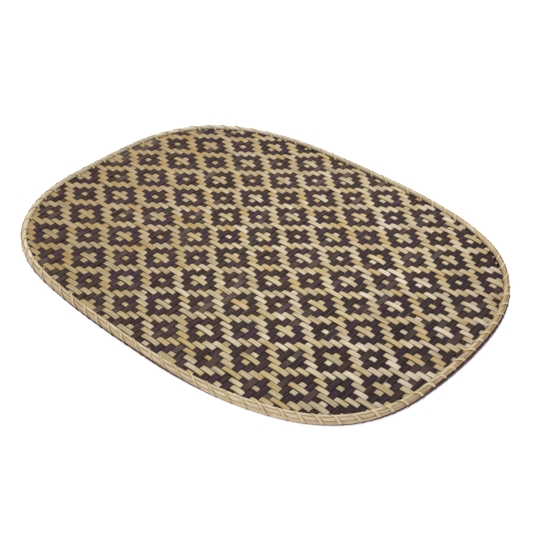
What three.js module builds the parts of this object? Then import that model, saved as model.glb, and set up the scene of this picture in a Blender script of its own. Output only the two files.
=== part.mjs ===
// Woven bamboo placemat: a flat plaited panel with its edge held between two bamboo splits,
// which a narrow strip lashes together through the panel. Millimetres, +Z up.
// The long side runs along X. The mat lies on z = 0, centred on the Z axis.

import * as THREE from 'three';

// Size of the whole mat, over the lashing.
const MAT_LENGTH = 422;
const MAT_WIDTH = 324;

// Each quarter of the outline is a superellipse, and a higher power gives a squarer corner.
const CORNERS = [
  { alongX: 1, alongY: 1, power: 2.84 },
  { alongX: -1, alongY: 1, power: 2.98 },
  { alongX: -1, alongY: -1, power: 3.17 },
  { alongX: 1, alongY: -1, power: 2.89 },
];

// Clearance between neighbouring pieces.
const GAP = 0.3;

// Thickness of the panel, which is two layers of strips.
const PANEL_THICK = 1.6;

// The splits. Widths run inwards from the outline, and the crown is the rounded face's rise.
const UPPER_SPLIT = { width: 4.8, thick: 2.6, inset: 0 };
const LOWER_SPLIT = { width: 4.6, thick: 2.0, inset: 0 };
const CROWN_RISE = 0.8;
const CROWN_SHARE = 0.25;

// How far the panel's cut edge stays inside the upper split's outer edge.
const PANEL_INSET = 0.8;

// The lashing strip: its width is measured along the rim.
const LASHING_THICK = 0.6;
const LASHING_WIDTH = 3.0;
const LASHING_BEND = 0.9;
const WRAPS = 84;
const WRAPS_PER_LENGTH = 4;

// Where each side of a wrap ends, as a share of the way to the next wrap.
const TOP_RUN_END = 0.46;
const OUTER_RUN_END = 0.74;

// Hand-wound spacing: waves around the mat move each wrap by these shares of the pitch.
// The first draws the wraps together at the +X end, and the others make neighbours uneven.
const SPACING_WAVES = [
  { share: -1.6, turns: 1 },
  { share: 0.09, turns: 19 },
  { share: 0.06, turns: 31 },
];

// Colour and roughness of each kind of piece.
const WEAVE_FINISH = { color: 0x86705a, roughness: 0.6, metalness: 0 };
const UPPER_SPLIT_FINISH = { color: 0xcdb07c, roughness: 0.5, metalness: 0 };
const LOWER_SPLIT_FINISH = { color: 0x4a3637, roughness: 0.55, metalness: 0 };
const LASHING_FINISH = { color: 0xd8bf8e, roughness: 0.45, metalness: 0 };

// Levels, worked out from the table upwards.
const LOWER_SPLIT_Z = LASHING_THICK + GAP;
const PANEL_Z = LOWER_SPLIT_Z + LOWER_SPLIT.thick + GAP;
const UPPER_SPLIT_Z = PANEL_Z + PANEL_THICK + GAP;
const MAT_HEIGHT = UPPER_SPLIT_Z + UPPER_SPLIT.thick + GAP + LASHING_THICK;

// The lashing's inner loop around both splits, as distances outwards from the outline and heights.
const LOOP_IN = -UPPER_SPLIT.width - GAP;
const LOOP_OUT = GAP;
const LOOP_LOW = LASHING_THICK;
const LOOP_HIGH = MAT_HEIGHT - LASHING_THICK;

// The line that the upper split's outer edge follows, anticlockwise from +X.
class MatOutline extends THREE.Curve {
  constructor() {
    super();
    this.arcLengthDivisions = 2000;
    this.halfLength = MAT_LENGTH / 2 - GAP - LASHING_THICK;
    this.halfWidth = MAT_WIDTH / 2 - GAP - LASHING_THICK;
  }

  getPoint(t, target = new THREE.Vector2()) {
    const angle = 2 * Math.PI * t;
    const x = Math.cos(angle);
    const y = Math.sin(angle);
    const { power } = CORNERS.find((corner) => corner.alongX * x >= 0 && corner.alongY * y >= 0);
    const sum = Math.abs(x / this.halfLength) ** power + Math.abs(y / this.halfWidth) ** power;
    const radius = sum ** (-1 / power);
    return target.set(radius * x, radius * y);
  }
}

const outline = new MatOutline();
const rimLength = outline.getLength();
const pitch = rimLength / WRAPS;

// The point at a distance along the outline, moved outwards from it and up to a height.
function onRim(along, outwards, height) {
  const share = THREE.MathUtils.euclideanModulo(along / rimLength, 1);
  const point = outline.getPointAt(share);
  const tangent = outline.getTangentAt(share);
  return new THREE.Vector3(point.x + tangent.y * outwards, point.y - tangent.x * outwards, height);
}

// Where a wrap comes up through the panel, as a distance along the outline.
function wrapStart(wrap) {
  const turn = (2 * Math.PI * wrap) / WRAPS;
  const shift = SPACING_WAVES.reduce((sum, wave) => sum + wave.share * Math.sin(wave.turns * turn), 0);
  return pitch * (wrap + shift);
}

// A solid through a row of sections with equally many points. The row is closed into a ring,
// or else its two end sections are capped.
function sweptSolid(sections, isRing) {
  const size = sections[0].length;
  const steps = isRing ? sections.length : sections.length - 1;
  const triangles = [];
  for (let step = 0; step < steps; step += 1) {
    const here = step * size;
    const next = ((step + 1) % sections.length) * size;
    for (let i = 0; i < size; i += 1) {
      const j = (i + 1) % size;
      triangles.push(here + i, next + i, next + j, here + i, next + j, here + j);
    }
  }
  if (!isRing) {
    const last = (sections.length - 1) * size;
    for (let i = 1; i < size - 1; i += 1) {
      triangles.push(0, i, i + 1, last, last + i + 1, last + i);
    }
  }
  const geometry = new THREE.BufferGeometry().setFromPoints(sections.flat());
  geometry.setIndex(triangles);
  geometry.computeVertexNormals();
  return geometry;
}

// The panel: the flat sheet inside the rim, with a slot for each wrap of the lashing.
function panelGeometry() {
  const edgePoint = (along, outwards) => {
    const { x, y } = onRim(along, outwards, 0);
    return new THREE.Vector2(x, y);
  };
  const edge = [];
  for (let i = 0; i < 2 * WRAPS; i += 1) {
    edge.push(edgePoint((i * pitch) / 2, -PANEL_INSET));
  }
  const sheet = new THREE.Shape(edge);
  const halfSlot = LASHING_WIDTH / 2 + GAP;
  for (let wrap = 0; wrap < WRAPS; wrap += 1) {
    const along = wrapStart(wrap);
    sheet.holes.push(new THREE.Path([
      edgePoint(along - halfSlot, LOOP_IN + GAP),
      edgePoint(along - halfSlot, LOOP_IN - LASHING_THICK - GAP),
      edgePoint(along + halfSlot, LOOP_IN - LASHING_THICK - GAP),
      edgePoint(along + halfSlot, LOOP_IN + GAP),
    ]));
  }
  const geometry = new THREE.ExtrudeGeometry(sheet, { depth: PANEL_THICK, bevelEnabled: false });
  return geometry.translate(0, 0, PANEL_Z);
}

// A split: a ring with one flat face on the panel's side and one crowned face. rise is +1 for a crown
// on top and -1 for one below, and flatHeight is the height of the flat face.
function splitGeometry(split, flatHeight, rise) {
  const outer = -split.inset;
  const inner = outer - split.width;
  const shoulder = flatHeight + rise * (split.thick - CROWN_RISE);
  const crown = flatHeight + rise * split.thick;
  const crownInset = CROWN_SHARE * split.width;
  const profile = [
    { outwards: outer, height: flatHeight },
    { outwards: outer, height: shoulder },
    { outwards: outer - crownInset, height: crown },
    { outwards: inner + crownInset, height: crown },
    { outwards: inner, height: shoulder },
    { outwards: inner, height: flatHeight },
  ];
  if (rise < 0) profile.reverse();
  const sections = [];
  for (let i = 0; i < 2 * WRAPS; i += 1) {
    sections.push(profile.map((point) => onRim((i * pitch) / 2, point.outwards, point.height)));
  }
  return sweptSolid(sections, true);
}

// The corners that one wrap goes round: up through the panel, out over the upper split, down the
// outer side and back in under the lower split. bend is cut off each corner of the loop.
function wrapCorners(grow, bend) {
  const left = LOOP_IN - grow;
  const right = LOOP_OUT + grow;
  const low = LOOP_LOW - grow;
  const high = LOOP_HIGH + grow;
  return [
    { outwards: left, height: low + bend, share: 0 },
    { outwards: left, height: high - bend, share: 0 },
    { outwards: left + bend, height: high, share: 0 },
    { outwards: right - bend, height: high, share: TOP_RUN_END },
    { outwards: right, height: high - bend, share: TOP_RUN_END },
    { outwards: right, height: low + bend, share: OUTER_RUN_END },
    { outwards: right - bend, height: low, share: OUTER_RUN_END },
    { outwards: left + bend, height: low, share: 1 },
  ];
}

// One length of the lashing: a flat strip through the corners of its wraps, with both ends cut square
// in the middle of the rim's underside.
function lashingGeometry(firstWrap) {
  const face = wrapCorners(0, LASHING_BEND);
  const back = wrapCorners(LASHING_THICK, LASHING_BEND + LASHING_THICK * (2 - Math.SQRT2));
  const stripSection = (along, near, far) => [
    onRim(along - LASHING_WIDTH / 2, near.outwards, near.height),
    onRim(along - LASHING_WIDTH / 2, far.outwards, far.height),
    onRim(along + LASHING_WIDTH / 2, far.outwards, far.height),
    onRim(along + LASHING_WIDTH / 2, near.outwards, near.height),
  ];
  const cutEnd = (wrap, side) => {
    const middle = (LOOP_IN + LOOP_OUT) / 2 + (side * GAP) / 2;
    const from = THREE.MathUtils.lerp(wrapStart(wrap - 1), wrapStart(wrap), OUTER_RUN_END);
    const along = (from + wrapStart(wrap)) / 2;
    return stripSection(along, { outwards: middle, height: LOOP_LOW }, { outwards: middle, height: 0 });
  };
  const lastWrap = firstWrap + WRAPS_PER_LENGTH;
  const sections = [cutEnd(firstWrap, -1)];
  // The strip comes in under the rim to where its first wrap rises.
  const rising = { near: face[face.length - 1], far: back[back.length - 1] };
  sections.push(stripSection(wrapStart(firstWrap), rising.near, rising.far));
  for (let wrap = firstWrap; wrap < lastWrap; wrap += 1) {
    const start = wrapStart(wrap);
    const advance = wrapStart(wrap + 1) - start;
    face.forEach((near, i) => {
      const isLast = wrap === lastWrap - 1 && i === face.length - 1;
      if (!isLast) sections.push(stripSection(start + near.share * advance, near, back[i]));
    });
  }
  sections.push(cutEnd(lastWrap, 1));
  return sweptSolid(sections, false);
}

function piece(name, geometry, finish) {
  const mesh = new THREE.Mesh(geometry, new THREE.MeshStandardMaterial(finish));
  mesh.name = name;
  return mesh;
}

const placemat = new THREE.Group();
const upperSplit = splitGeometry(UPPER_SPLIT, UPPER_SPLIT_Z, 1);
const lowerSplit = splitGeometry(LOWER_SPLIT, LOWER_SPLIT_Z + LOWER_SPLIT.thick, -1);
placemat.add(piece('woven_panel', panelGeometry(), WEAVE_FINISH));
placemat.add(piece('rim_upper_split', upperSplit, UPPER_SPLIT_FINISH));
placemat.add(piece('rim_lower_split', lowerSplit, LOWER_SPLIT_FINISH));
for (let first = 0; first < WRAPS; first += WRAPS_PER_LENGTH) {
  const number = String(first / WRAPS_PER_LENGTH + 1).padStart(2, '0');
  placemat.add(piece(`lashing_${number}`, lashingGeometry(first), LASHING_FINISH));
}

export default placemat;
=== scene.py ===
"""A woven bamboo placemat lying on a pale studio floor.

Light strips run along the mat (X) and dark-dyed strips run across it (Y). They are plaited in a diamond
twill, and the panel's edge is held between two bamboo splits that a narrow strip lashes together.
Every size is in metres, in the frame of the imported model.
"""

import math

import bpy
import numpy as np
from mathutils import Matrix, Vector


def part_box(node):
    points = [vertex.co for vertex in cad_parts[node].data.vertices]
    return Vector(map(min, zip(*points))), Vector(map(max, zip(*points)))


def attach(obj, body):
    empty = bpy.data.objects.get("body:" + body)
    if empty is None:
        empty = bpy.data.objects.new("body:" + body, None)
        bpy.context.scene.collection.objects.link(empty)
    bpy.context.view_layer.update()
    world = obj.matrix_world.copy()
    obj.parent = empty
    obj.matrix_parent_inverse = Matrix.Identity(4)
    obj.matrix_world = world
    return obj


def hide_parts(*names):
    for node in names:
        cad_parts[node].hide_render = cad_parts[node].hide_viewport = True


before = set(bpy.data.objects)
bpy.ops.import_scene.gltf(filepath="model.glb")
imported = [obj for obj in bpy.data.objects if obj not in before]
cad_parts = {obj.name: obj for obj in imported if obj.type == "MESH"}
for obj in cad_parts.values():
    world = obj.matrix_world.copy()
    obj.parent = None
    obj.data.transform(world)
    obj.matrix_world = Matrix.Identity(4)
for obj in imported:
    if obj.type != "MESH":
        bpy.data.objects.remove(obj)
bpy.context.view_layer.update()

MM = 0.001
panel_low, panel_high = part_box("woven_panel")
upper_low, upper_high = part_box("rim_upper_split")
_, lower_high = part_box("rim_lower_split")

# Outline: the upper split's outer edge, a superellipse with its own power in each corner.
HALF_LENGTH = (upper_high.x - upper_low.x) / 2
HALF_WIDTH = (upper_high.y - upper_low.y) / 2
CORNER_POWER = {(1, 1): 2.84, (-1, 1): 2.98, (-1, -1): 3.17, (1, -1): 2.89}
OUTLINE_STEPS = 20000

# The hand-bent rim's wander: angles from +X in degrees, and millimetres outwards from that line.
RIM_WANDER = np.array([
    (0, 0.0), (28, -0.4), (40, 1.0), (60, -0.4), (110, 1.3), (145, 0.0), (195, 0.0), (210, -1.1),
    (221, 0.7), (231, 0.8), (242, -0.6), (265, 0.4), (285, 0.2), (310, -1.5), (328, -0.4), (348, -1.5),
])

# Weave: the middle of one small flower, the strips' pitches, and how far the dark strips wander from an
# even pitch at each flower, counted from one repeat before the first. The rows of flowers run from two
# repeats before the first to seven after it, which is past the outline on both sides.
REPEAT = 8
FIRST_FLOWER_X = -171.5 * MM
FIRST_FLOWER_Y = -91.5 * MM
DARK_PITCH = 5.87 * MM
LIGHT_PITCH = 5.11 * MM
DARK_DRIFT = np.array([-8.0, -5.6, 0.7, 3.0, 0.6, -0.8, -0.6, 0.6, -0.4, -0.4]) * MM
FLOWER_ROWS = (-2, 7)

# Strips: their thickness, the crown's share of it, and widths as shares of the pitch. They end inside the
# outline by the inset, and the first and last crossings are lengthened by the overhang to get there. What
# the outline cuts shorter than the shortest step is left out. They rise and dip about the panel's middle.
STRIP_THICK = 0.62 * MM
STRIP_CROWN = 0.10
LIGHT_COVER = 0.945
DARK_COVER = 1.02
STRIP_INSET = 2.2 * MM
STRIP_OVERHANG = 6 * MM
SHORTEST_STEP = 0.01 * MM
PANEL_MIDDLE = (panel_low.z + panel_high.z) / 2

# A strip's section, crowned above and flat below: half widths across, and heights. The shares of the way
# round give the middle and half the width of its top face and of its flat back, and a place on the side
# between them where the top ends.
STRIP_ACROSS = np.array([-1, 0, 1, 1, -1])
STRIP_UP = np.array([0.5 - STRIP_CROWN, 0.5, 0.5 - STRIP_CROWN, -0.5, -0.5]) * STRIP_THICK
TOP_MIDDLE = 0.2
TOP_HALF = 0.2
BACK_MIDDLE = 0.7
BACK_HALF = 0.1
TOP_END = 0.5

# What differs between the layers: the share of its width that a strip keeps over a single crossing, the
# share by which it widens towards its start, the spread of widths, and how much of FLOAT_ARCH it rises.
LIGHT_LAYER = {"pinch": 0.88, "fuller": 0.07, "uneven": 0.065, "arch_share": 1.0}
DARK_LAYER = {"pinch": 1.0, "fuller": 0.0, "uneven": 0.012, "arch_share": 0.5}

# Rise of a strip's arch by the number of strips it floats over, none to three, and its least and greatest
# share. At the edge of a crossing a strip has gone a part of the way to its neighbour's level.
FLOAT_ARCH = np.array([0.0, 0.08, 0.26, 0.62]) * MM
ARCH_SPREAD = (0.6, 1.3)
TURN_EASE = 0.26

# Towards its start a strip widens and loses a part of its pinch, in full from a share of the way out.
START_REACH = 0.7
START_UNPINCH = 0.7

# Unevenness: how strips stray sideways in waves and as a whole, how widths wave, and how one edge rolls up.
# The waves are given by their lengths.
STRAY_WAVES = (0.31, 0.13)
STRAY_SIZE = 0.10 * MM
STRAY_WHOLE = 0.05 * MM
WIDTH_WAVES = (0.07, 0.19)
WIDTH_SIZE = 0.025
ROLL_SIZE = 0.05 * MM

# Lashing: wraps round the rim, and waves that shift each wrap by a share of the pitch. Widths spread by a
# share, and wraps stand off the rim a little where they are higher than LIFT_FROM, in millimetres.
WRAPS = 84
SPACING_WAVES = ((-1.6, 1), (0.09, 19), (0.06, 31))
LASHING_WIDTH = 3.2 * MM
LASHING_THICK = 0.42 * MM
LASHING_SPREAD = 0.08
LASHING_LIFT = 0.06 * MM
LIFT_FROM = 5
STEPS_PER_WRAP = 44

# The lashing's section: shares of its width across, and of its thickness outwards. The middle of its outer
# face is a quarter of the way round.
LASHING_ACROSS = np.array([-1.0, -0.8, 0.0, 0.8, 1.0, 0.8, 0.0, -0.8]) / 2
LASHING_OUT = np.array([0.0, 0.42, 0.5, 0.42, 0.0, -0.5, -0.5, -0.5])
LASHING_FACE = 0.25

# How far each split lies to one side of the outline. The lashing goes over from the lower split's shift to
# the upper one's between two heights above the lower split.
UPPER_SHIFT = np.array([-0.6, 0.3]) * MM
LOWER_SHIFT = np.array([0.15, 0.0]) * MM
SHIFT_HEIGHTS = np.array([1.0, 3.0]) * MM

# The splits' waves round the mat: both sway together, and each one swells on its own. Phases are drawn from
# a range of about a full turn.
RIM_STATIONS = 1400
SWAY_SIZE = 0.07 * MM
SWAY_TURNS = range(2, 12)
SWELL_SIZE = 0.05 * MM
SWELL_TURNS = range(3, 26)
PHASE_RANGE = 6.3

# Between the wraps the splits swell out and up. The swelling is 0 at this share of its sine, and outwards
# it fades over a distance in from the outline.
PILLOW_OUT = 0.4 * MM
PILLOW_UP = 0.22 * MM
PILLOW_REST = 0.6
PILLOW_FADE = 2.4 * MM

# Where the rim is narrower, inwards of a line near its outer edge: along the near long side, and in the
# corner towards +X and -Y. Each has the weight of X beside -Y, where it starts and over what stretch it
# grows, both in half widths of the mat, and the share that it takes off.
NARROW_LINE = -1.2 * MM
NARROWINGS = ((0.35, 0.5, 0.4, 0.20), (0.8, 1.2, 0.4, 0.15))

# Section of the upper split: distance outwards from the outline and height, in millimetres, up the outer
# side, over a groove and the crown, and back underneath. The groove is at one corner, and the outer side's
# painted shade ends between two others.
UPPER_SECTION = np.array([
    (-0.85, 4.12), (-0.10, 4.05), (0.08, 4.40), (0.13, 5.30), (0.06, 6.30), (-0.22, 6.90),
    (-0.65, 7.08), (-1.00, 6.75), (-1.30, 7.08), (-1.70, 7.45), (-2.40, 7.70), (-3.30, 7.66),
    (-4.10, 7.30), (-4.65, 6.65), (-4.85, 5.80), (-4.70, 5.00), (-3.20, 4.85), (-0.95, 4.80),
]) * MM
GROOVE_CORNER = 7
OUTER_SIDE_END = (5.0, 6.5)

# Section of the lower split, from its outer top edge, which covers the panel's cut edge, inwards under
# the panel and back round below.
LOWER_SECTION = np.array([
    (0.08, 4.14), (-0.70, 4.14), (-0.90, 3.20), (-4.50, 3.16), (-4.60, 2.20), (-4.35, 1.10), (-3.60, 0.56),
    (-2.40, 0.44), (-1.10, 0.44), (-0.30, 0.52), (0.10, 0.80), (0.20, 1.60), (0.22, 2.60), (0.18, 3.60),
]) * MM

# One wrap's middle line: distance outwards and height in millimetres, and share of the way to the next
# wrap. It goes round the rim's middle.
WRAP_LINE = np.array([
    (-5.40, 2.00, 0.00), (-5.55, 3.80, 0.00), (-5.50, 5.10, 0.00), (-5.15, 6.35, 0.02),
    (-4.40, 7.32, 0.09), (-3.00, 7.92, 0.23), (-1.60, 7.68, 0.36), (-0.70, 7.30, 0.44),
    (0.08, 6.75, 0.50), (0.34, 5.60, 0.56), (0.42, 4.00, 0.63), (0.44, 2.40, 0.70),
    (0.34, 0.90, 0.755), (-0.30, 0.26, 0.80), (-1.40, 0.20, 0.85), (-2.70, 0.20, 0.90),
    (-3.90, 0.30, 0.96), (-4.80, 0.90, 0.99),
])
RIM_MIDDLE = (-2.5, 4.5)

# The painted shade on the rim's foot, which darkens the rim and the lashing there: the height of its upper
# edge and how far that wanders, its rise towards +X, a hump in the middle of the near long side, a dip
# along the near corner, and half the width of its blur. On the lashing it stands a little higher.
FOOT_SHADE_LINE = 2.3 * MM
FOOT_SHADE_WANDER = 2.2 * MM
FOOT_SHADE_RISE = 3.7 * MM
FOOT_SHADE_HUMP = 0.9 * MM
FOOT_SHADE_DIP = 0.9 * MM
FOOT_SHADE_BLUR = 0.2 * MM
LASHING_FOOT_SHADE_LIFT = 0.4 * MM

# Depth of the fibres' grain, on strips and splits and on the lashing.
GRAIN_DEPTH = 0.15 * MM
LASHING_GRAIN_DEPTH = 0.12 * MM

# How far the rim's dark end lies askew: the weight of Y beside X.
END_SLANT = 0.4

# Seeds of the random draws.
LIGHT_SEED = 11
DARK_SEED = 12
LASHING_SEED = 21
SWAY_SEED = 31
LOWER_SEED = 32
UPPER_SEED = 33

# Faces that meet at a sharper turn than this keep a crease between them.
CREASE_ANGLE = math.radians(40)

# Studio: the floor's half side, its small drop below the mat, its cells to a side, and the colours of light.
FLOOR_HALF = 4
FLOOR_DROP = 0.02 * MM
FLOOR_CELLS = 8
WHITE_LIGHT = (1.0, 1.0, 1.0)
WARM_LIGHT = (1.0, 0.985, 0.96)


def corner_power(x, y):
    """The outline's power in the quarter of the mat that holds each point."""
    conditions = [(x * sx >= 0) & (y * sy >= 0) for sx, sy in CORNER_POWER]
    return np.select(conditions, list(CORNER_POWER.values()))


def outline_reach(across, power, half_along, half_across):
    """How far from the middle the outline ends a line that runs at a distance across the mat:
    half_along times (1 - (across / half_across) to the power p) to the power 1 / p."""
    return half_along * np.clip(1 - np.abs(across / half_across) ** power, 0, 1) ** (1 / power)


def rim_table(steps):
    """Points along the outline with their distances along it: the radius at an angle is
    (|cos / half length| ** p + |sin / half width| ** p) ** (-1 / p), plus the rim's wander."""
    angle = np.linspace(0, 2 * np.pi, steps + 1)
    x, y = np.cos(angle), np.sin(angle)
    power = corner_power(x, y)
    radius = (np.abs(x / HALF_LENGTH) ** power + np.abs(y / HALF_WIDTH) ** power) ** (-1 / power)
    wander_at, wander_out = np.radians(RIM_WANDER[:, 0]), RIM_WANDER[:, 1] * MM
    radius = radius + np.interp(angle, wander_at, wander_out, period=2 * np.pi)
    points = np.stack([radius * x, radius * y], -1)
    lengths = np.hypot(*np.diff(points, axis=0).T)
    return points, np.concatenate([[0], np.cumsum(lengths)])


RIM_POINTS, RIM_ALONG = rim_table(OUTLINE_STEPS)
RIM_LENGTH = RIM_ALONG[-1]


def on_rim(along, outwards, height):
    """Points at a distance along the outline, moved outwards along its normal and up to a height."""
    def outline(distance):
        distance = distance % RIM_LENGTH
        return np.stack([np.interp(distance, RIM_ALONG, RIM_POINTS[:, k]) for k in (0, 1)], -1)

    along, outwards, height = np.broadcast_arrays(along, outwards, height)
    step = 0.5 * MM
    tangent = outline(along + step) - outline(along - step)
    tangent /= np.linalg.norm(tangent, axis=-1, keepdims=True)
    normal = np.stack([tangent[..., 1], -tangent[..., 0]], -1)
    flat = outline(along) + normal * outwards[..., None]
    return np.concatenate([flat, height[..., None]], -1)


def waves(distance, rng, lengths, size):
    """A slow wander: sine waves of the given lengths with random phases and equal sizes."""
    total = np.zeros_like(distance)
    for length in lengths:
        phase = rng.uniform(0, 2 * np.pi, distance.shape[:1] + (1,) * (distance.ndim - 1))
        total = total + np.sin(2 * np.pi * distance / length + phase)
    return size * total / len(lengths)


def rim_waves(along, rng, size, turns):
    """A slow wander round the rim: sine waves of whole numbers of turns with random sizes and phases."""
    total = 0
    for turn in turns:
        height = rng.normal(0, size)
        phase = rng.uniform(0, PHASE_RANGE)
        total = total + height * np.sin(2 * np.pi * turn * along / RIM_LENGTH + phase)
    return total


def smoothed(values, axis):
    """Each value mixed with its two neighbours: half of itself and a quarter of each."""
    return (np.roll(values, 1, axis) + 2 * values + np.roll(values, -1, axis)) / 4


def add_object(name, data):
    """An object at the origin, linked to the scene."""
    added = bpy.data.objects.new(name, data)
    bpy.context.scene.collection.objects.link(added)
    return added


def mesh_piece(name, points, faces, marks):
    """A piece from groups of faces, each with its rows of corners and their places on the UV map. Points
    that no face uses are left out. Each mark, an attribute, has a number for each tube, step or corner."""
    loops = np.concatenate([rows.ravel() for rows, _ in faces])
    sizes = np.concatenate([np.full(len(rows), rows.shape[1]) for rows, _ in faces])
    coords = np.concatenate([places.reshape(-1, 2) for _, places in faces])
    used, loops = np.unique(loops, return_inverse=True)
    mesh = bpy.data.meshes.new(name)
    mesh.vertices.add(len(used))
    mesh.vertices.foreach_set("co", points.reshape(-1, 3)[used].astype(np.float32).ravel())
    mesh.loops.add(len(loops))
    mesh.loops.foreach_set("vertex_index", loops.astype(np.int32).ravel())
    mesh.polygons.add(len(sizes))
    mesh.polygons.foreach_set("loop_start", (np.cumsum(sizes) - sizes).astype(np.int32))
    mesh.polygons.foreach_set("use_smooth", np.ones(len(sizes), bool))
    mesh.update(calc_edges=True)
    mesh.uv_layers.new(name="strip").data.foreach_set("uv", coords.astype(np.float32).ravel())
    for mark, values in marks.items():
        spread = np.broadcast_to(values, points.shape[:3]).ravel()[used].astype(np.float32)
        mesh.attributes.new(mark, "FLOAT", "POINT").data.foreach_set("value", spread)
    mesh.set_sharp_from_angle(angle=CREASE_ANGLE)
    return add_object(name, mesh)


def tubes(name, points, along, lanes, marks, closed=False, keep=None, flip=False):
    """A piece made of tubes through points[tube, step, corner]. Neighbouring steps and corners are joined by
    quads, and the ends are capped unless the tubes are closed rings. The UV map holds the distance along in
    U, and the tube's number plus the share of the way round in V."""
    count, steps, corners, _ = points.shape
    index = np.arange(count * steps * corners).reshape(count, steps, corners)
    if closed:
        here, ahead = index, np.roll(index, -1, axis=1)
        starts, ends = along, np.concatenate([along[:, 1:], along[:, :1] + RIM_LENGTH], 1)
    else:
        here, ahead = index[:, :-1], index[:, 1:]
        starts, ends = along[:, :-1], along[:, 1:]
    quads = np.stack([here, ahead, np.roll(ahead, -1, 2), np.roll(here, -1, 2)], -1)
    share = np.arange(corners + 1) / corners
    u = np.stack([starts, ends, ends, starts], -1)[:, :, None, :]
    v = np.stack([share[:-1], share[:-1], share[1:], share[1:]], -1) + lanes[:, None, None, None]
    uv = np.stack(np.broadcast_arrays(u, v), -1)
    if keep is None:
        keep = np.ones(quads.shape[:2], bool)
    faces = [(quads[keep].reshape(-1, 4), uv[keep].reshape(-1, 4, 2))]
    if not closed:
        tube = np.arange(count)
        first = keep.argmax(1)
        last = keep.shape[1] - keep[:, ::-1].argmax(1)
        for step, order in ((first, slice(None)), (last, slice(None, None, -1))):
            cap_u = starts[tube, np.minimum(step, starts.shape[1] - 1)][:, None]
            cap_v = lanes[:, None] + share[None, :-1]
            cap_uv = np.stack(np.broadcast_arrays(cap_u, cap_v), -1)
            faces.append((index[tube, step][:, order], cap_uv))
    if flip:
        faces = [(rows[:, ::-1], places[:, ::-1]) for rows, places in faces]
    return mesh_piece(name, points, faces, marks)


def light_on_top(row, column):
    """The diamond twill's chart. Both counts are folded about the flower in the middle of the repeat,
    and the light strip lies over the dark one where their sum leaves 0 or 3 when divided by 4."""
    def fold(count):
        return np.minimum(count % REPEAT, -count % REPEAT)

    return np.isin((fold(row) + fold(column)) % 4, (0, 3))


def float_runs(over):
    """For each crossing, the first crossing of the run on one side that holds it, and the run's length."""
    number = np.broadcast_to(np.arange(over.shape[1]), over.shape)
    turns = over[:, 1:] != over[:, :-1]
    starts = np.pad(turns, ((0, 0), (1, 0)), constant_values=True)
    stops = np.pad(turns, ((0, 0), (0, 1)), constant_values=True)
    first = np.maximum.accumulate(np.where(starts, number, 0), axis=1)
    last = np.where(stops, number, over.shape[1] - 1)
    last = np.minimum.accumulate(last[:, ::-1], axis=1)[:, ::-1]
    return first, last - first + 1


def plait(name, lane_at, crossing_at, over, reach, width, rng, flip, pinch, fuller, uneven, arch_share):
    """One layer of strips, with four steps to each crossing. A strip's height is plus or minus half its
    thickness at each crossing, eased between neighbours, plus an arch, a half sine over each run of
    crossings on one side. It is pinched where it crosses a single strip, and fuller is the share by which
    it widens from the middle to the start. The mark "dives" is 1 where it is about to go under a strip; the
    dark strips' material paints a shadow there."""
    count, crossings = over.shape
    middles = (crossing_at[1:] + crossing_at[:-1]) / 2
    start = 2 * crossing_at[0] - middles[0] - STRIP_OVERHANG
    stop = 2 * crossing_at[-1] - middles[-1] + STRIP_OVERHANG
    edges = np.concatenate([[start], middles, [stop]])
    share = (np.arange(4) + 0.5) / 4
    along = (edges[:-1, None] + share * np.diff(edges)[:, None]).ravel()
    steps = np.clip(along[None], reach[:, :1], reach[:, 1:])
    keep = np.diff(steps, axis=1) > SHORTEST_STEP

    side = np.where(over, 1.0, -1.0)
    before = np.concatenate([side[:, :1], side[:, :-1]], 1)
    after = np.concatenate([side[:, 1:], side[:, -1:]], 1)
    coming = side + TURN_EASE * (before - side)
    going = side + TURN_EASE * (after - side)
    level = np.stack([coming, side, side, going], -1)
    first, run = float_runs(over)
    place_in_run = ((np.arange(crossings) - first)[..., None] + share) / run[..., None]
    arch = FLOAT_ARCH[np.minimum(run, len(FLOAT_ARCH) - 1)] * rng.uniform(*ARCH_SPREAD, over.shape)
    arch = arch_share * np.take_along_axis(arch, first, 1)
    rise = STRIP_THICK / 2 * level + side[..., None] * arch[..., None] * np.sin(np.pi * place_in_run)
    rise = rise.reshape(count, -1)
    roll = np.take_along_axis(rng.normal(0, ROLL_SIZE, over.shape), first, 1)
    roll = np.repeat(roll, len(share), axis=1)

    lane = lane_at[:, None] + waves(steps, rng, STRAY_WAVES, STRAY_SIZE)
    lane = lane + rng.normal(0, STRAY_WHOLE, (count, 1))
    half = width[:, None] / 2 * rng.normal(1, uneven, (count, 1))
    half = half * (1 + waves(steps, rng, WIDTH_WAVES, WIDTH_SIZE))
    near_start = np.clip(-steps / (START_REACH * np.abs(crossing_at).max()), 0, 1)
    narrow = smoothed(np.repeat(np.where(run == 1, pinch, 1.0), len(share), axis=1), 1)
    half = half * (1 - (1 - narrow) * (1 - START_UNPINCH * near_start)) * (1 + fuller * near_start)
    points = np.stack(np.broadcast_arrays(
        steps[..., None],
        lane[..., None] + half[..., None] * STRIP_ACROSS,
        PANEL_MIDDLE + rise[..., None] + STRIP_UP + roll[..., None] * STRIP_ACROSS), -1)
    dives = (side > after)[..., None] & (share == share[-1])
    marks = {"tone": rng.normal(0, 1, (count, 1, 1)), "dives": dives.reshape(count, -1, 1)}
    if flip:
        points = points[..., [1, 0, 2]]
    return tubes(name, points, steps, np.arange(count, dtype=float), marks, keep=keep, flip=flip)


def strip_ends(lane_at, half_strip, half_along, half_across, light):
    """Where each strip starts and stops: the outline, drawn in a little, ends it at its outer edge."""
    outer = np.abs(lane_at) + half_strip
    ends = []
    for toward in (-1, 1):
        ones = np.full_like(lane_at, toward)
        power = corner_power(ones, lane_at) if light else corner_power(lane_at, ones)
        ends.append(toward * outline_reach(outer, power, half_along, half_across))
    return np.stack(ends, 1)


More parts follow.
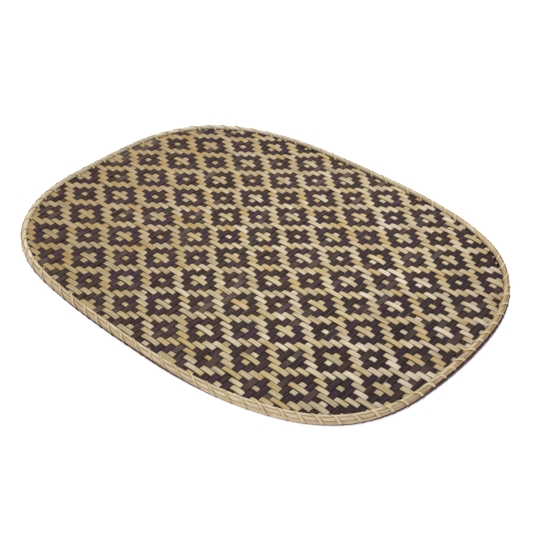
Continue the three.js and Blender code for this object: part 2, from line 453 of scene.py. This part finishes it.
def weave_panel():
    """Both layers of strips, from the chart. Strips that reach past the outline, drawn in, are left out."""
    half_x, half_y = HALF_LENGTH - STRIP_INSET, HALF_WIDTH - STRIP_INSET
    drift_at = (np.arange(len(DARK_DRIFT)) - 1) * REPEAT
    columns = np.arange(drift_at[0], drift_at[-1] + REPEAT)
    rows = np.arange(FLOWER_ROWS[0] * REPEAT, FLOWER_ROWS[1] * REPEAT)
    dark_x = FIRST_FLOWER_X + DARK_PITCH * columns + np.interp(columns, drift_at, DARK_DRIFT)
    light_y = FIRST_FLOWER_Y + LIGHT_PITCH * rows
    dark_pitch = np.gradient(dark_x)
    light_pitch = np.gradient(light_y)
    inside_columns = np.abs(dark_x) + dark_pitch / 2 < half_x
    inside_rows = np.abs(light_y) + light_pitch / 2 < half_y
    columns, dark_x, dark_pitch = (values[inside_columns] for values in (columns, dark_x, dark_pitch))
    rows, light_y, light_pitch = (values[inside_rows] for values in (rows, light_y, light_pitch))
    over = light_on_top(rows[:, None], columns[None])
    light_ends = strip_ends(light_y, light_pitch / 2, half_x, half_y, True)
    light = plait("light_strips", light_y, dark_x, over, light_ends, light_pitch * LIGHT_COVER,
                  np.random.default_rng(LIGHT_SEED), False, **LIGHT_LAYER)
    dark_ends = strip_ends(dark_x, dark_pitch / 2, half_y, half_x, False)
    dark = plait("dark_strips", dark_x, light_y, ~over.T, dark_ends, dark_pitch * DARK_COVER,
                 np.random.default_rng(DARK_SEED), True, **DARK_LAYER)
    return light, dark


def wrap_starts(wrap):
    """Where wraps come up through the panel: the pitch times the wrap's number plus its waves."""
    turn = 2 * np.pi * wrap / WRAPS
    shift = sum(share * np.sin(times * turn) for share, times in SPACING_WAVES)
    return RIM_LENGTH / WRAPS * (wrap + shift)


def fit_width(along, outwards):
    """The rim's width: distances inwards of a line near the outer edge shrink by a share. Each narrowing
    adds to that share, from 0 at its start to all of its own at the end of its stretch."""
    at = on_rim(along, 0.0, 0.0)
    less = 0
    for weight, start, stretch, share in NARROWINGS:
        toward = (at[..., 0] * weight - at[..., 1]) / HALF_WIDTH
        less = less + share * np.clip((toward - start) / stretch, 0, 1)
    return outwards - np.minimum(outwards - NARROW_LINE, 0) * less


def wrap_lean(section):
    """The share of the way to the next wrap that a wrap has made where it passes each corner of a section:
    read off WRAP_LINE by the angle about the rim's middle, from the line's first point."""
    def angle(points):
        return np.degrees(np.arctan2(points[:, 1] - RIM_MIDDLE[1], points[:, 0] - RIM_MIDDLE[0]))

    first = angle(WRAP_LINE)[0]
    turn = np.append((first - angle(WRAP_LINE)) % 360, 360)
    return np.interp((first - angle(section / MM)) % 360, turn, np.append(WRAP_LINE[:, 2], 1))


def rim_split(name, section, shift, seed):
    """A split: its section carried along the outline, with a slow wander in place and in height. It swells
    between the wraps, up and outwards, by the size of a sine with half a wave from wrap to wrap. The mark
    "close" is 1 beside a wrap and -1 midway between two."""
    rng = np.random.default_rng(seed)
    along = np.arange(RIM_STATIONS) * RIM_LENGTH / RIM_STATIONS
    sway = rim_waves(along, np.random.default_rng(SWAY_SEED), SWAY_SIZE, SWAY_TURNS)
    swell = rim_waves(along, rng, SWELL_SIZE, SWELL_TURNS)
    wrap = np.arange(-1, WRAPS + 2)
    number = np.interp(along, wrap_starts(wrap), wrap)
    since = number[:, None] - wrap_lean(section)
    pillow = np.abs(np.sin(np.pi * since)) - PILLOW_REST
    outer = np.clip(section[:, 0] / PILLOW_FADE + 1, 0, 1)
    crown = np.clip((section[:, 1] - PANEL_MIDDLE) / (upper_high.z - PANEL_MIDDLE), 0, 1)
    outwards = fit_width(along[:, None], section[None, :, 0]) + sway[:, None] + PILLOW_OUT * pillow * outer
    height = section[:, 1] + (swell[:, None] + PILLOW_UP * pillow) * crown
    points = on_rim(along[:, None], outwards, height)
    points[..., :2] += shift
    tone = rng.normal(0, 1, WRAPS)[np.floor(number).astype(int) % WRAPS]
    marks = {"tone": tone[None, :, None], "close": np.cos(2 * np.pi * since)[None]}
    return tubes(name, points[None], along[None], np.zeros(1), marks, closed=True)


def lashing():
    """The lashing: a flat strip with rounded edges carried along its wraps. A smooth closed line through
    WRAP_LINE gives each wrap's path, and the share moves it on along the rim."""
    rng = np.random.default_rng(LASHING_SEED)
    corner = np.arange(len(WRAP_LINE) + 1)
    at = np.arange(STEPS_PER_WRAP) * len(WRAP_LINE) / STEPS_PER_WRAP
    closed_line = np.concatenate([WRAP_LINE, WRAP_LINE[:1] + [0, 0, 1]])
    path = np.stack([np.interp(at, corner, closed_line[:, k]) for k in range(3)], -1)
    ring = smoothed(smoothed(path[:, :2] * MM, 0), 0)
    ahead = np.roll(ring, -1, 0) - np.roll(ring, 1, 0)
    normal = np.stack([-ahead[:, 1], ahead[:, 0]], -1)
    normal /= np.linalg.norm(normal, axis=1, keepdims=True)

    wrap = np.arange(WRAPS)
    start = wrap_starts(wrap)
    advance = wrap_starts(wrap + 1) - start
    along = start[:, None] + path[None, :, 2] * advance[:, None]
    width = LASHING_WIDTH * rng.normal(1, LASHING_SPREAD, (WRAPS, 1, 1))
    lift = np.abs(rng.normal(0, LASHING_LIFT, (WRAPS, 1, 1)))
    offset = LASHING_OUT * LASHING_THICK + lift * (path[None, :, 1, None] > LIFT_FROM)
    middle = fit_width(along, np.broadcast_to(ring[:, 0], along.shape))
    outwards = middle[..., None] + normal[None, :, None, 0] * offset
    height = ring[None, :, None, 1] + normal[None, :, None, 1] * offset
    points = on_rim(along[..., None] + width * LASHING_ACROSS, outwards, np.maximum(height, 0))
    low = np.interp(height, lower_high.z + SHIFT_HEIGHTS, (1, 0))
    points[..., :2] += UPPER_SHIFT + low[..., None] * (LOWER_SHIFT - UPPER_SHIFT)
    tone = np.repeat(rng.normal(0, 1, WRAPS), STEPS_PER_WRAP)
    shape = (1, WRAPS * STEPS_PER_WRAP)
    return tubes("lashing_strip", points.reshape(*shape, len(LASHING_ACROSS), 3), along.reshape(shape),
                 np.zeros(1), {"tone": tone.reshape(*shape, 1)}, closed=True)


class Wire:
    """One shader value. Its operators add Math nodes, so shader maths reads as Python maths."""

    def __init__(self, shader, socket):
        self.shader = shader
        self.socket = socket

    def math(self, operation, *terms):
        return self.shader.node("ShaderNodeMath", {"operation": operation}, dict(enumerate(terms)))

    def __add__(self, other):
        return self.math("ADD", self, other)

    def __sub__(self, other):
        return self.math("SUBTRACT", self, other)

    def __rsub__(self, other):
        return self.math("SUBTRACT", other, self)

    def __mul__(self, other):
        return self.math("MULTIPLY", self, other)

    def __truediv__(self, other):
        return self.math("DIVIDE", self, other)

    def __rtruediv__(self, other):
        return self.math("DIVIDE", other, self)

    def __neg__(self):
        return self.math("MULTIPLY", self, -1.0)

    __radd__ = __add__
    __rmul__ = __mul__

    def floor(self):
        return self.math("FLOOR", self)

    def size(self):
        return self.math("ABSOLUTE", self)

    def least(self, other):
        return self.math("MINIMUM", self, other)

    def most(self, other):
        return self.math("MAXIMUM", self, other)

    def ramp(self, low, high):
        """0 below low, 1 above high, and straight between them."""
        sockets = {"Value": self, "From Min": low, "From Max": high, "To Min": 0.0, "To Max": 1.0}
        return self.shader.node("ShaderNodeMapRange", {"clamp": True}, sockets)


class Shader:
    """A material's node tree with one Principled shader. node() adds any node."""

    # A Mix node's sockets for colours, whose names are also those of its sockets for numbers.
    MIX_SHARE, MIX_FIRST, MIX_SECOND, MIX_RESULT = 0, 6, 7, 2

    def __init__(self, name):
        self.material = bpy.data.materials.new(name)
        self.material.use_nodes = True
        self.tree = self.material.node_tree
        self.surface = next(n for n in self.tree.nodes if n.type == "BSDF_PRINCIPLED")

    def join(self, socket, value):
        """Links a wire to a socket, or sets the socket to a value."""
        if isinstance(value, Wire):
            self.tree.links.new(value.socket, socket)
        else:
            socket.default_value = value

    def node(self, kind, settings, sockets, output=0):
        """A node of a kind: its settings first, then the values or links of its sockets."""
        node = self.tree.nodes.new(kind)
        for key, value in settings.items():
            setattr(node, key, value)
        for key, value in sockets.items():
            self.join(node.inputs[key], value)
        return Wire(self, node.outputs[output])

    def finish(self, **sockets):
        """Sets the Principled shader's sockets, with spaces written as underscores."""
        for key, value in sockets.items():
            self.join(self.surface.inputs[key.replace("_", " ")], value)
        return self.material

    def noise(self, x, y, z, detail=1.0, roughness=0.5):
        """Smooth noise from about 0 to 1, with unit cells in x, y and z."""
        cells = self.node("ShaderNodeCombineXYZ", {}, {"X": x, "Y": y, "Z": z})
        sockets = {"Vector": cells, "Scale": 1.0, "Detail": detail, "Roughness": roughness}
        return self.node("ShaderNodeTexNoise", {}, sockets)

    def fibres(self, x, y, z):
        """The finer and rougher noise of bamboo fibres."""
        return self.noise(x, y, z, detail=3.0, roughness=0.6)

    def mix(self, share, first, second, blend="MIX"):
        """From one colour to another by a share. Each is a colour or a wire that holds one."""
        settings = {"data_type": "RGBA", "blend_type": blend}
        sockets = {self.MIX_SHARE: share, self.MIX_FIRST: first, self.MIX_SECOND: second}
        return self.node("ShaderNodeMix", settings, sockets, self.MIX_RESULT)

    def tint(self, share, base, tone):
        """From a colour to its product with another, by a share."""
        return self.mix(share, base, tone, "MULTIPLY")

    def bump(self, height, strength, distance):
        """A surface that looks raised and sunk by a height from 0 to 1, times a distance."""
        return self.node("ShaderNodeBump", {}, {"Height": height, "Strength": strength, "Distance": distance})

    def mark(self, name):
        """A number that the mesh carries."""
        return self.node("ShaderNodeAttribute", {"attribute_name": name}, {}, "Fac")

    def strip_place(self):
        """Distance along a strip, its number and the share of the way round it."""
        uv = self.node("ShaderNodeUVMap", {"uv_map": "strip"}, {})
        along = self.node("ShaderNodeSeparateXYZ", {}, {"Vector": uv}, "X")
        lane = self.node("ShaderNodeSeparateXYZ", {}, {"Vector": uv}, "Y")
        number = lane.floor()
        return along, number, lane - number

    def place_on_mat(self):
        """The place on the mat: x, y and the height above the floor."""
        place = self.node("ShaderNodeTexCoord", {}, {}, "Object")
        return [self.node("ShaderNodeSeparateXYZ", {}, {"Vector": place}, axis) for axis in "XYZ"]

    def across_strip(self, share):
        """Distance from a strip's middle line, in half widths, on its crowned face and on its flat one."""
        top = (share - TOP_MIDDLE).size() / TOP_HALF
        return top.least((share - BACK_MIDDLE).size() / BACK_HALF)


def colour(red, green, blue):
    """A colour as the shader's sockets take it."""
    return (red, green, blue, 1.0)


def light_bamboo():
    """Natural strips: straw with golden and greenish stretches, pale stretches of painted sheen that grow
    towards +X, lengthwise streaks, painted shade along the edges, a few cracks, and painted shade that makes
    the colour warmer and deeper towards -X, darker on the near and far sides, and duller at the +X end."""
    s = Shader("light_bamboo")
    along, number, share = s.strip_place()
    x, y, _ = s.place_on_mat()
    tone = s.mark("tone")

    fibre = s.fibres(along * 45.0, share * 60.0, number * 7.3)
    streak = s.noise(along * 16.0, share * 13.0, number * 5.7)
    streaks = (fibre * 0.35 + streak * 0.65).ramp(0.38, 0.61)
    straw = s.mix(streaks, colour(0.311, 0.240, 0.120), colour(0.540, 0.438, 0.256))
    green = s.noise(along * 21.0, number * 2.9, 4.5) + tone * 0.04
    sappy = s.mix(green.ramp(0.48, 0.61) * 0.65, straw, colour(0.468, 0.375, 0.146))
    gold = s.noise(along * 34.0, number * 3.7, 0.5) + tone * 0.05
    golden = s.mix(gold.ramp(0.53, 0.68) * 0.85, sappy, colour(0.445, 0.288, 0.090))
    # Pale stretches: a painted sheen, stronger towards +X.
    sheen_noise = s.noise(along * 30.0, number * 5.1, 9.5) - tone * 0.03
    painted_sheen = sheen_noise.ramp(0.51, 0.64) * (0.25 + x.ramp(-0.12, 0.06) * 0.4)
    pale = s.mix(painted_sheen, golden, colour(0.60, 0.515, 0.38))

    # Painted shade: warmer and deeper towards -X, darker on the near side, and duller at the +X end.
    left_painted_shade = s.tint((y * -0.35 - x).ramp(0.0, 0.17), pale, colour(0.84, 0.76, 0.68))
    near_painted_lighting = s.tint((-y).ramp(0.03, 0.12), left_painted_shade, colour(0.91, 0.93, 0.93))
    end_painted_shade = s.tint(x.ramp(0.11, 0.20), near_painted_lighting, colour(0.82, 0.80, 0.84))

    crack_at = TOP_MIDDLE + (s.noise(number * 9.7, 3.3, 0.2, detail=0.0) - 0.5) * 0.5
    cracked = s.noise(along * 28.0, number * 6.7, 7.5).ramp(0.58, 0.62)
    crack = (1 - (share - crack_at).size().ramp(0.01, 0.02)) * cracked
    lined = s.mix(crack * 0.8, end_painted_shade, colour(0.10, 0.065, 0.040))

    # Painted shade: duller on the far side, along each strip's edges, and more along its near edge.
    far = y.ramp(0.0, 0.13)
    far_painted_shade = s.tint(far * 0.6, lined, colour(0.90, 0.86, 0.84))
    edges = s.across_strip(share).ramp(0.78, 1.0) * (0.5 - far * 0.3)
    near_edge = ((TOP_MIDDLE - share) / TOP_HALF).ramp(0.60, 1.0) * (1 - far * 0.7)
    shade = edges + near_edge * (0.2 + x.ramp(-0.15, 0.05) * 0.45)
    shaded = s.mix(shade, far_painted_shade, colour(0.09, 0.055, 0.028))

    skin = s.noise(along * 19.0, number * 7.9, 3.5).ramp(0.50, 0.62)
    grain = s.bump(fibre, 0.25, GRAIN_DEPTH)
    return s.finish(Base_Color=shaded, Roughness=0.42 + fibre * 0.22, Specular_IOR_Level=0.35,
                    Coat_Weight=skin * 0.7, Coat_Roughness=0.22, Normal=grain)


def dark_bamboo():
    """Dyed strips: brown, purple or grey by strip, with lengthwise streaks, lighter patches of wear and
    painted sheen, painted shade along the edges and a few bare edges. Painted shade makes them darker towards
    +X, and a painted shadow darkens them where they go under a light strip."""
    s = Shader("dark_bamboo")
    along, number, share = s.strip_place()
    x, _, _ = s.place_on_mat()

    fibre = s.fibres(along * 38.0, share * 55.0, number * 6.1)
    streak = s.noise(along * 14.0, share * 15.0, number * 4.7)
    streaks = (fibre * 0.4 + streak * 0.6).ramp(0.38, 0.62)
    dyed_and_foot_shade = s.mix(streaks, colour(0.012, 0.006, 0.006), colour(0.090, 0.052, 0.044))
    hue = s.noise(along * 13.0, number * 8.9, 6.5)
    plum = s.mix(hue.ramp(0.47, 0.63) * 0.48, dyed_and_foot_shade, colour(0.058, 0.030, 0.058))
    moss = s.mix((1 - hue).ramp(0.53, 0.69) * 0.4, plum, colour(0.058, 0.051, 0.038))
    # Lighter patches: wear, and a painted sheen.
    wear_and_sheen_noise = s.noise(along * 24.0, number * 4.3, 2.5) + s.mark("tone") * 0.06
    wear_and_sheen = s.mix(wear_and_sheen_noise.ramp(0.57, 0.76), moss, colour(0.120, 0.083, 0.070))
    # Painted shade: darker towards +X.
    end_dark_shade = s.tint(x.ramp(0.03, 0.15), wear_and_sheen, colour(0.62, 0.60, 0.62))

    # Painted shade along the edges, and a painted shadow where a strip goes under a light one.
    across = s.across_strip(share)
    edges = across.ramp(0.68, 1.0) * 0.85
    under = s.mark("dives").ramp(0.3, 1.0) * 0.75
    shaded = s.mix(edges.most(under), end_dark_shade, colour(0.010, 0.005, 0.005))
    bared = s.noise(along * 42.0, number * 5.9, 1.5).ramp(0.64, 0.68)
    top_edges = across.ramp(0.89, 0.93) * (1 - (share - TOP_END).ramp(0.0, 0.001))
    lined = s.mix(top_edges * bared, shaded, colour(0.30, 0.235, 0.15))
    grain = s.bump(fibre, 0.3, GRAIN_DEPTH)
    return s.finish(Base_Color=lined, Roughness=0.42 + fibre * 0.25, Specular_IOR_Level=0.07, Normal=grain)


def toward_end(x, y):
    """How far a place on the rim lies towards the dark end, which is at +X and a little towards +Y."""
    return x + y * END_SLANT


def painted_foot_shade(s, along, lift):
    """Painted shade along the rim's foot: 1 below an uneven line round the mat, which rises towards +X and
    in the middle of the near long side, and dips along the near corner."""
    x, y, height = s.place_on_mat()
    wander = s.noise(along * 11.0, 2.2, 5.8) - 0.5
    hump = (1 - x.size().ramp(0.03, 0.09)) * (-y).ramp(0.12, 0.15)
    end = toward_end(x, y)
    dip = (x - y).ramp(0.19, 0.26) * (1 - end.ramp(0.12, 0.16))
    rise = end.ramp(0.15, 0.22) * FOOT_SHADE_RISE + hump * FOOT_SHADE_HUMP - dip * FOOT_SHADE_DIP
    line = FOOT_SHADE_LINE + lift + (rise + wander * FOOT_SHADE_WANDER)
    return 1 - (height - line).ramp(-FOOT_SHADE_BLUR, FOOT_SHADE_BLUR)


def rim_straw(s, along, share):
    """The splits' straw: long fibres with warm stretches, painted shade that makes it cooler on the far side,
    and painted light that makes it paler in the far corner towards -X and in the near one towards +X. The
    second value is the fibres, for the grain."""
    fibre = s.fibres(along * 30.0, share * 70.0, 3.1)
    streak = s.noise(along * 22.0, share * 22.0, 6.6) + s.mark("tone") * 0.08
    streaks = (fibre * 0.3 + streak * 0.7).ramp(0.36, 0.64)
    straw = s.mix(streaks, colour(0.40, 0.32, 0.19), colour(0.73, 0.63, 0.46))
    patch = s.noise(along * 14.0, share * 3.0, 7.7, detail=2.0)
    warm = s.mix(patch.ramp(0.46, 0.66) * 0.7, straw, colour(0.47, 0.35, 0.20))
    x, y, _ = s.place_on_mat()
    # Painted shade on the far side, and painted light in the far corner towards -X and the near one towards
    # +X.
    far = s.tint((y * 0.8 - x * 0.6).ramp(0.03, 0.13), warm, colour(0.90, 0.94, 1.06))
    far_corner = s.mix((y - x).ramp(0.24, 0.28) * 0.4, far, colour(0.82, 0.77, 0.68))
    near_painted_lighting = (x - y).ramp(0.20, 0.28) * (1 - toward_end(x, y).ramp(0.14, 0.19))
    return s.mix(near_painted_lighting * 0.4, far_corner, colour(0.76, 0.68, 0.53)), fibre


def rim_bamboo():
    """The upper split: straw with painted shade, golden to brown, in the groove where it gapes between the
    wraps, a painted shadow beside them, painted shade that darkens it at the +X end and makes the outer side
    reddish there, and painted shade along the foot."""
    s = Shader("rim_bamboo")
    along, _, share = s.strip_place()
    straw, fibre = rim_straw(s, along, share)
    x, y, _ = s.place_on_mat()
    corner = share * len(UPPER_SECTION)
    end = toward_end(x, y)
    # Painted shade: darker and warmer at the +X end, and a reddish outer side, most of all there.
    rim_end_shade = s.tint(end.ramp(0.16, 0.235), straw, colour(0.70, 0.60, 0.47))
    outer = 1 - corner.ramp(*OUTER_SIDE_END)
    outer_side_shade = s.mix(outer * (0.08 + end.ramp(0.12, 0.20) * 0.6), rim_end_shade, colour(0.42, 0.25, 0.15))

    # Painted shade in the groove where it gapes between the wraps, and a painted shadow beside each wrap.
    close = s.mark("close")
    gape = (1 - close.ramp(0.0, 0.7)) * s.noise(along * 60.0, 8.3, 1.9).ramp(0.25, 0.55)
    apart = (corner - GROOVE_CORNER).size()
    groove_side = (1 - apart.ramp(0.5, 1.0 + gape * 2.0)) * (0.1 + gape * 0.5)
    golden = s.mix(groove_side, outer_side_shade, colour(0.36, 0.25, 0.075))
    groove = (1 - apart.ramp(0.25, 1.0)) * (0.1 + gape * 0.75)
    lined = s.mix(groove, golden, colour(0.12, 0.065, 0.025))
    wrap_shadow = s.mix(close.ramp(0.40, 0.75) * 0.6, lined, colour(0.23, 0.15, 0.055))
    # Painted shade along the foot: dark maroon below an uneven line.
    dyed_and_foot_shade = s.mix(painted_foot_shade(s, along, 0.0), wrap_shadow, colour(0.075, 0.029, 0.034))
    grain = s.bump(fibre, 0.3, GRAIN_DEPTH)
    return s.finish(Base_Color=dyed_and_foot_shade, Roughness=0.45 + fibre * 0.2, Specular_IOR_Level=0.15, Normal=grain)


def dark_rim_bamboo():
    """The lower split: straw, darkened below an uneven line by painted shade in dark brown, with some straw
    left at its top edge.
    """
    s = Shader("dark_rim_bamboo")
    along, _, share = s.strip_place()
    straw, fibre = rim_straw(s, along, share)
    # Straw above the painted shade, tinted a little darker and warmer.
    lower_straw = s.tint(1.0, straw, colour(0.85, 0.75, 0.68))
    # The painted shade's colour: dark brown, a little uneven with the fibres.
    foot_shade_colour = s.mix(fibre.ramp(0.35, 0.68), colour(0.042, 0.016, 0.020), colour(0.085, 0.035, 0.040))
    dyed_and_foot_shade = s.mix(painted_foot_shade(s, along, 0.0), lower_straw, foot_shade_colour)
    grain = s.bump(fibre, 0.3, GRAIN_DEPTH)
    return s.finish(Base_Color=dyed_and_foot_shade, Roughness=0.45 + fibre * 0.2, Specular_IOR_Level=0.12, Normal=grain)


def lashing_bamboo():
    """The lashing: pale straw with brown painted shade along its edges, a little different from wrap to wrap,
    with painted shade at the foot.
    """
    s = Shader("lashing_bamboo")
    along, _, share = s.strip_place()
    fibre = s.fibres(along * 90.0, share * 26.0, 4.4)
    straw = s.mix(fibre.ramp(0.35, 0.65), colour(0.46, 0.37, 0.20), colour(0.67, 0.56, 0.35))
    warm = s.mix((s.mark("tone") * 0.3).ramp(0.0, 0.6) * 0.6, straw, colour(0.43, 0.31, 0.14))
    # Painted shade along the wraps' edges.
    edges = (share - LASHING_FACE).size().ramp(0.10, 0.16)
    edged = s.mix(edges * 0.75, warm, colour(0.24, 0.15, 0.05))
    # Painted shade at the foot, a little higher than on the splits.
    dyed_and_foot_shade = s.mix(painted_foot_shade(s, along, LASHING_FOOT_SHADE_LIFT), edged, colour(0.075, 0.031, 0.034))
    grain = s.bump(fibre, 0.25, LASHING_GRAIN_DEPTH)
    return s.finish(Base_Color=dyed_and_foot_shade, Roughness=0.40 + fibre * 0.2, Specular_IOR_Level=0.18, Normal=grain)


def place(piece, material, slot, *nodes):
    """Finishes a piece, lets it ride on the mat and stand for its nodes."""
    piece.data.materials.append(material)
    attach(piece, "root")
    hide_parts(*nodes)


light_strips, dark_strips = weave_panel()
place(light_strips, light_bamboo(), "woven_bamboo", "woven_panel")
place(dark_strips, dark_bamboo(), "woven_bamboo", "woven_panel")
upper_split = rim_split("upper_split", UPPER_SECTION, UPPER_SHIFT, UPPER_SEED)
place(upper_split, rim_bamboo(), "rim_bamboo", "rim_upper_split")
lower_split = rim_split("lower_split", LOWER_SECTION, LOWER_SHIFT, LOWER_SEED)
place(lower_split, dark_rim_bamboo(), "dark_rim_bamboo", "rim_lower_split")
lashing_nodes = [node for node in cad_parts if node.startswith("lashing_")]
place(lashing(), lashing_bamboo(), "lashing_bamboo", *lashing_nodes)

# The panel's flat size, which each layer of strips covers, and its share of the outline's area.
panel_flat = (2 * (HALF_WIDTH - STRIP_INSET), 2 * (HALF_LENGTH - STRIP_INSET))
outline_x, outline_y = RIM_POINTS[:-1].T
ahead_x, ahead_y = np.roll(RIM_POINTS[:-1], -1, axis=0).T
outline_area = abs(np.dot(outline_x, ahead_y) - np.dot(outline_y, ahead_x)) / 2
panel_area = outline_area * panel_flat[0] * panel_flat[1] / (4 * HALF_WIDTH * HALF_LENGTH)


def studio_floor():
    """A plain pale floor: a flat square grid just below z = 0."""
    side = np.linspace(-FLOOR_HALF, FLOOR_HALF, FLOOR_CELLS + 1)
    x, y = np.meshgrid(side, side, indexing="ij")
    points = np.stack([x, y, np.full_like(x, -FLOOR_DROP)], -1).reshape(-1, 3)
    index = np.arange(x.size).reshape(x.shape)
    quads = np.stack([index[:-1, :-1], index[1:, :-1], index[1:, 1:], index[:-1, 1:]], -1).reshape(-1, 4)
    mesh = bpy.data.meshes.new("studio_floor")
    mesh.from_pydata(points.tolist(), [], quads.tolist())
    pale = Shader("pale_floor").finish(Base_Color=colour(0.9, 0.9, 0.9), Roughness=0.9,
                                       Emission_Color=colour(*WHITE_LIGHT), Emission_Strength=0.4)
    mesh.materials.append(pale)
    add_object("studio_floor", mesh)


def studio_air():
    """Even white light from all round."""
    world = bpy.data.worlds.new("studio_air")
    world.use_nodes = True
    background = world.node_tree.nodes["Background"]
    background.inputs["Color"].default_value = colour(*WHITE_LIGHT)
    background.inputs["Strength"].default_value = 0.6
    bpy.context.scene.world = world


def view_back(azimuth, elevation):
    """The direction from the mat to a viewer: azimuth 0 looks along +Y."""
    a, e = math.radians(azimuth), math.radians(elevation)
    return Vector((math.sin(a) * math.cos(e), -math.cos(a) * math.cos(e), math.sin(e)))


def soft_light(name, azimuth, elevation, distance, size, watts, tint):
    """A square light panel that faces the mat, at an azimuth and elevation as the camera's."""
    light = bpy.data.lights.new(name, "AREA")
    light.shape = "SQUARE"
    light.size = size
    light.energy = watts
    light.color = tint
    lamp = add_object(name, light)
    back = view_back(azimuth, elevation)
    lamp.location = back * distance
    lamp.rotation_euler = back.to_track_quat("Z", "Y").to_euler()


def studio_camera():
    """The camera at the photograph's angle: it looks at aim from a distance, and is rolled a little."""
    azimuth, elevation, roll = 40.365, 38.434, 0.991
    distance, aim = 0.7981, Vector((0.0097, -0.0038, -0.0116))
    sensor_width, lens = 36.0, 61.27
    back = view_back(azimuth, elevation)
    right = Vector((math.cos(math.radians(azimuth)), math.sin(math.radians(azimuth)), 0))
    up = back.cross(right)
    c, s = math.cos(math.radians(roll)), math.sin(math.radians(roll))
    turn = Matrix((c * right + s * up, c * up - s * right, back)).transposed()
    camera = add_object("camera", bpy.data.cameras.new("camera"))
    camera.data.sensor_width = sensor_width
    camera.data.lens = lens
    camera.matrix_world = Matrix.Translation(aim + back * distance) @ turn.to_4x4()
    bpy.context.scene.camera = camera


studio_floor()
studio_air()
soft_light("key_light", azimuth=-55, elevation=48, distance=3.0, size=2.4, watts=20, tint=WARM_LIGHT)
soft_light("top_light", azimuth=60, elevation=80, distance=0.8, size=0.5, watts=2.8, tint=WARM_LIGHT)
soft_light("back_light", azimuth=200, elevation=46, distance=1.7, size=1.0, watts=8, tint=WHITE_LIGHT)
studio_camera()
bpy.context.scene.view_settings.view_transform = "Standard"
